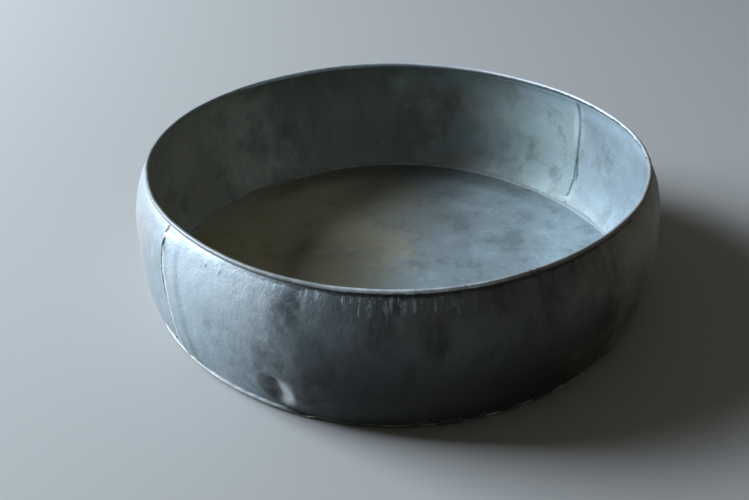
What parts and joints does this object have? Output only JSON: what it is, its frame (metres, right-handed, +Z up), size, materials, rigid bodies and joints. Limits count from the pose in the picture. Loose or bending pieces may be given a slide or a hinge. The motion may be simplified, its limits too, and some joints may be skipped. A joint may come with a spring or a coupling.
{
  "type": "shaving bowl",
  "caption": "Low, bulging sheet-metal basin with a flat soldered base, lapped and soldered side seams and a wired rim.",
  "frame": {"origin": "centre of the underside, on the surface the bowl stands on", "axes": "+Z up along the bowl's axis, towards the open mouth; the front panel's lapped edge is on the -X, -Y side"},
  "size_m": [0.3498, 0.3498, 0.0945],
  "materials": {
    "wall_zinc": "blue-grey patinated zinc sheet, dull, mottled, with pale oxide streaks",
    "base_zinc": "patinated zinc sheet, dull, greenish brown stains",
    "rim_iron": "plain drawn iron wire, hidden",
    "solder": "pale soft solder, lumpy, dulled"
  },
  "bodies": {
    "root": {"front_wall_panel": "wall_zinc", "rear_wall_panel": "wall_zinc", "base_disc": "base_zinc", "rim_wire": "rim_iron", "left_seam_outer_solder": "solder", "right_seam_outer_solder": "solder", "left_seam_inner_solder": "solder", "right_seam_inner_solder": "solder", "base_outer_solder": "solder", "base_inner_solder": "solder"}
  },
  "joints": []
}
